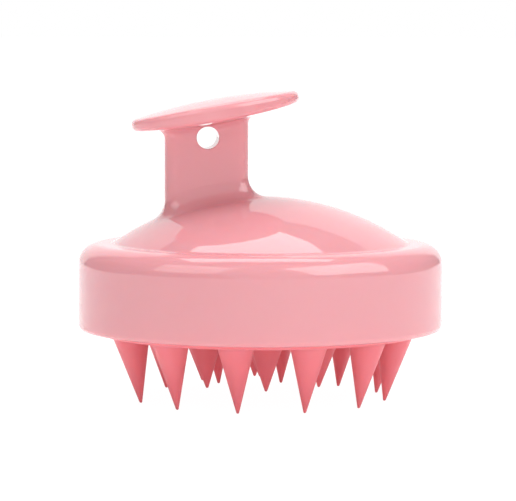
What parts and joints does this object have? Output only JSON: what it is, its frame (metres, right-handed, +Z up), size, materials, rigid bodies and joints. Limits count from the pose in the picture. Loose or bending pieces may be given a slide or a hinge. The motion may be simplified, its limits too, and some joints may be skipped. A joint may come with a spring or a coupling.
{
  "type": "scalp massager brush",
  "caption": "Round hand-held scalp massager brush with a T-shaped grip, a hanging hole and a pull-out silicone pad of flexing cone teeth.",
  "frame": {"origin": "on the round casing's axis, in the plane that the tips of the outer teeth touch", "axes": "+Z up along the casing's axis from the teeth to the grip, +X towards the raised end of the grip cap, +Y along the hanging hole"},
  "size_m": [0.085, 0.085, 0.0719],
  "materials": {
    "casing_plastic": "polished pink ABS moulding",
    "plate_plastic": "as-moulded pink ABS, satin",
    "screw_steel": "zinc-plated self-tapping screws",
    "silicone": "soft coral pink silicone, satin"
  },
  "bodies": {
    "handle": {"handle_casing": "casing_plastic", "backing_plate": "plate_plastic", "plate_screws": "screw_steel"},
    "pad": {"brush_pad": "silicone"},
    "tooth_outer_01": {"tooth_outer_01": "silicone"},
    "tooth_outer_02": {"tooth_outer_02": "silicone"},
    "tooth_outer_03": {"tooth_outer_03": "silicone"},
    "tooth_outer_04": {"tooth_outer_04": "silicone"},
    "tooth_outer_05": {"tooth_outer_05": "silicone"},
    "tooth_outer_06": {"tooth_outer_06": "silicone"},
    "tooth_outer_07": {"tooth_outer_07": "silicone"},
    "tooth_outer_08": {"tooth_outer_08": "silicone"},
    "tooth_outer_09": {"tooth_outer_09": "silicone"},
    "tooth_outer_10": {"tooth_outer_10": "silicone"},
    "tooth_outer_11": {"tooth_outer_11": "silicone"},
    "tooth_outer_12": {"tooth_outer_12": "silicone"},
    "tooth_inner_01": {"tooth_inner_01": "silicone"},
    "tooth_inner_02": {"tooth_inner_02": "silicone"},
    "tooth_inner_03": {"tooth_inner_03": "silicone"},
    "tooth_inner_04": {"tooth_inner_04": "silicone"},
    "tooth_inner_05": {"tooth_inner_05": "silicone"},
    "tooth_inner_06": {"tooth_inner_06": "silicone"},
    "tooth_centre_01": {"tooth_centre_01": "silicone"}
  },
  "joints": [
    {"name": "handle_lift_off", "type": "slide", "parent": "pad", "child": "handle", "axis": [0, 0, 1], "range_m": [0, 0.03]},
    {"name": "flex_outer_01", "type": "hinge", "parent": "pad", "child": "tooth_outer_01", "pos_m": [0.03062, 0.00821, 0.0153], "axis": [0.2588, -0.9659, 0], "range_deg": [-20, 20], "stiffness_Nm_per_rad": 0.03},
    {"name": "flex_outer_02", "type": "hinge", "parent": "pad", "child": "tooth_outer_02", "pos_m": [0.02242, 0.02242, 0.0153], "axis": [0.7071, -0.7071, 0], "range_deg": [-20, 20], "stiffness_Nm_per_rad": 0.03},
    {"name": "flex_outer_03", "type": "hinge", "parent": "pad", "child": "tooth_outer_03", "pos_m": [0.00821, 0.03062, 0.0153], "axis": [0.9659, -0.2588, 0], "range_deg": [-20, 20], "stiffness_Nm_per_rad": 0.03},
    {"name": "flex_outer_04", "type": "hinge", "parent": "pad", "child": "tooth_outer_04", "pos_m": [-0.00821, 0.03062, 0.0153], "axis": [0.9659, 0.2588, 0], "range_deg": [-20, 20], "stiffness_Nm_per_rad": 0.03},
    {"name": "flex_outer_05", "type": "hinge", "parent": "pad", "child": "tooth_outer_05", "pos_m": [-0.02242, 0.02242, 0.0153], "axis": [0.7071, 0.7071, 0], "range_deg": [-20, 20], "stiffness_Nm_per_rad": 0.03},
    {"name": "flex_outer_06", "type": "hinge", "parent": "pad", "child": "tooth_outer_06", "pos_m": [-0.03062, 0.00821, 0.0153], "axis": [0.2588, 0.9659, 0], "range_deg": [-20, 20], "stiffness_Nm_per_rad": 0.03},
    {"name": "flex_outer_07", "type": "hinge", "parent": "pad", "child": "tooth_outer_07", "pos_m": [-0.03062, -0.00821, 0.0153], "axis": [-0.2588, 0.9659, 0], "range_deg": [-20, 20], "stiffness_Nm_per_rad": 0.03},
    {"name": "flex_outer_08", "type": "hinge", "parent": "pad", "child": "tooth_outer_08", "pos_m": [-0.02242, -0.02242, 0.0153], "axis": [-0.7071, 0.7071, 0], "range_deg": [-20, 20], "stiffness_Nm_per_rad": 0.03},
    {"name": "flex_outer_09", "type": "hinge", "parent": "pad", "child": "tooth_outer_09", "pos_m": [-0.00821, -0.03062, 0.0153], "axis": [-0.9659, 0.2588, 0], "range_deg": [-20, 20], "stiffness_Nm_per_rad": 0.03},
    {"name": "flex_outer_10", "type": "hinge", "parent": "pad", "child": "tooth_outer_10", "pos_m": [0.00821, -0.03062, 0.0153], "axis": [-0.9659, -0.2588, 0], "range_deg": [-20, 20], "stiffness_Nm_per_rad": 0.03},
    {"name": "flex_outer_11", "type": "hinge", "parent": "pad", "child": "tooth_outer_11", "pos_m": [0.02242, -0.02242, 0.0153], "axis": [-0.7071, -0.7071, 0], "range_deg": [-20, 20], "stiffness_Nm_per_rad": 0.03},
    {"name": "flex_outer_12", "type": "hinge", "parent": "pad", "child": "tooth_outer_12", "pos_m": [0.03062, -0.00821, 0.0153], "axis": [-0.2588, -0.9659, 0], "range_deg": [-20, 20], "stiffness_Nm_per_rad": 0.03},
    {"name": "flex_inner_01", "type": "hinge", "parent": "pad", "child": "tooth_inner_01", "pos_m": [0.01368, 0.0079, 0.0153], "axis": [0.5, -0.866, 0], "range_deg": [-20, 20], "stiffness_Nm_per_rad": 0.03},
    {"name": "flex_inner_02", "type": "hinge", "parent": "pad", "child": "tooth_inner_02", "pos_m": [0, 0.0158, 0.0153], "axis": [1, 0, 0], "range_deg": [-20, 20], "stiffness_Nm_per_rad": 0.03},
    {"name": "flex_inner_03", "type": "hinge", "parent": "pad", "child": "tooth_inner_03", "pos_m": [-0.01368, 0.0079, 0.0153], "axis": [0.5, 0.866, 0], "range_deg": [-20, 20], "stiffness_Nm_per_rad": 0.03},
    {"name": "flex_inner_04", "type": "hinge", "parent": "pad", "child": "tooth_inner_04", "pos_m": [-0.01368, -0.0079, 0.0153], "axis": [-0.5, 0.866, 0], "range_deg": [-20, 20], "stiffness_Nm_per_rad": 0.03},
    {"name": "flex_inner_05", "type": "hinge", "parent": "pad", "child": "tooth_inner_05", "pos_m": [0, -0.0158, 0.0153], "axis": [-1, 0, 0], "range_deg": [-20, 20], "stiffness_Nm_per_rad": 0.03},
    {"name": "flex_inner_06", "type": "hinge", "parent": "pad", "child": "tooth_inner_06", "pos_m": [0.01368, -0.0079, 0.0153], "axis": [-0.5, -0.866, 0], "range_deg": [-20, 20], "stiffness_Nm_per_rad": 0.03},
    {"name": "flex_centre_01", "type": "hinge", "parent": "pad", "child": "tooth_centre_01", "pos_m": [0, 0, 0.0153], "axis": [0, -1, 0], "range_deg": [-20, 20], "stiffness_Nm_per_rad": 0.03}
  ]
}
